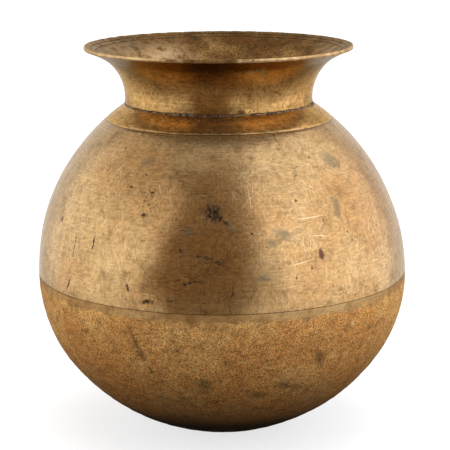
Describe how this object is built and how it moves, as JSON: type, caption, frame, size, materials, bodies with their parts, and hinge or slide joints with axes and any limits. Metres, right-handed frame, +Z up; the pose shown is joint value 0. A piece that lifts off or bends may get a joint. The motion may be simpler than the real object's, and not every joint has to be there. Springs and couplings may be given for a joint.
{
  "type": "lota water pot",
  "caption": "Round-bodied brass lota with a flared mouth and upright neck, for drinking and washing water; turned shells brazed together at belly and neck.",
  "frame": {"origin": "centre of the flat under the bowl, on the surface that the pot stands on", "axes": "+Z up along the pot's turning axis, towards the mouth"},
  "size_m": [0.14, 0.14, 0.1468],
  "materials": {
    "burnished_brass": "burnished by hand and handling, with fine scratches, pits and brown tarnish",
    "rough_cast_brass": "unpolished, finely pitted and rough, with orange-brown patina",
    "braze_spelter": "dull grey-brown brazing metal, left as it ran"
  },
  "bodies": {
    "root": {"lower_bowl": "rough_cast_brass", "upper_shell": "burnished_brass", "mouth_collar": "burnished_brass", "neck_braze": "braze_spelter", "belly_braze": "braze_spelter"}
  },
  "joints": []
}
